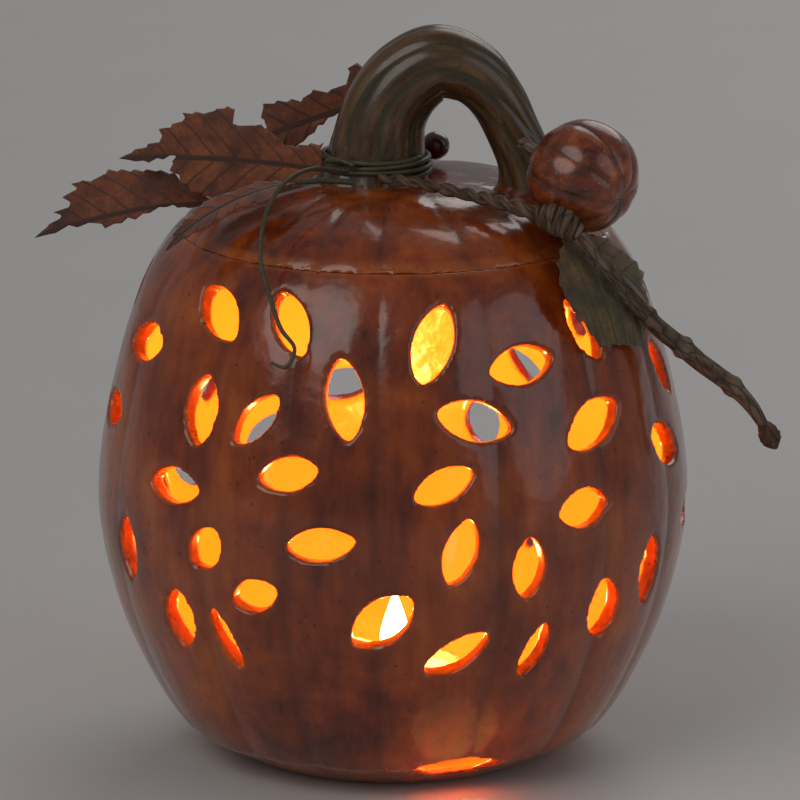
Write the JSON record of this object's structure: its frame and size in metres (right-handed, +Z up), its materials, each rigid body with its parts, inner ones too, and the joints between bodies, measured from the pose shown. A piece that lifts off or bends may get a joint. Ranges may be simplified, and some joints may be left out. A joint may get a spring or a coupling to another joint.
{
  "type": "ceramic pumpkin lantern",
  "caption": "Round pierced ceramic pumpkin lantern with a lift-off lid, an arched stem handle, an autumn leaf and gourd garland, and a tealight inside.",
  "frame": {"origin": "middle of the flat base, on the surface it stands on", "axes": "+Z up; the front, with the low vent to the right of the middle, faces -Y; +X to the right seen from the front"},
  "size_m": [0.1993, 0.16, 0.1989],
  "materials": {
    "pumpkin_glaze": "gloss burnt-orange glaze over earthenware, darker in the hollows",
    "stem_glaze": "satin brown glaze with green in the grooves",
    "gourd_skin": "varnished, mottled brown-orange",
    "berry_skin": "gloss dark red",
    "vine_bark": "dry bark",
    "twig_bark": "dry bark with fine grain",
    "bud_scale": "dry, scaly",
    "florist_wire": "paper-wrapped, dark green-brown, satin",
    "leaf_silk_left": "stiffened cloth, russet, printed veins",
    "leaf_silk_right": "stiffened cloth, olive brown, printed veins",
    "cup_foil": "pressed, satin",
    "candle_wax": "paraffin wax, translucent when warm",
    "wick_braid": "braided cotton, burnt at the tip",
    "clip_steel": "tinned plate"
  },
  "bodies": {
    "pumpkin": {"pumpkin_body": "pumpkin_glaze"},
    "lid": {"lid": "pumpkin_glaze", "stem_handle": "stem_glaze", "mini_gourd": "gourd_skin", "gourd_stalk": "twig_bark", "vine": "vine_bark", "vine_knot": "vine_bark", "twig": "twig_bark", "twig_bud": "bud_scale", "tendril": "florist_wire", "tie_wire": "florist_wire", "berry": "berry_skin", "berry_stalk": "florist_wire", "stalk_left_upper": "florist_wire", "stalk_left_lower": "florist_wire", "stalk_left_front": "florist_wire", "stalk_rear": "florist_wire", "stalk_right": "florist_wire", "leaf_left_upper": "leaf_silk_left", "leaf_left_lower": "leaf_silk_left", "leaf_left_front": "leaf_silk_left", "leaf_rear": "leaf_silk_left", "leaf_right": "leaf_silk_right"},
    "tealight": {"tealight_cup": "cup_foil", "tealight_wax": "candle_wax", "wick": "wick_braid", "wick_clip": "clip_steel"}
  },
  "joints": [
    {"name": "lid_lift", "type": "slide", "parent": "pumpkin", "child": "lid", "axis": [0, 0, 1], "range_m": [0, 0.08]},
    {"name": "tealight_lift", "type": "slide", "parent": "pumpkin", "child": "tealight", "axis": [0, 0, 1], "range_m": [0, 0.08]}
  ]
}
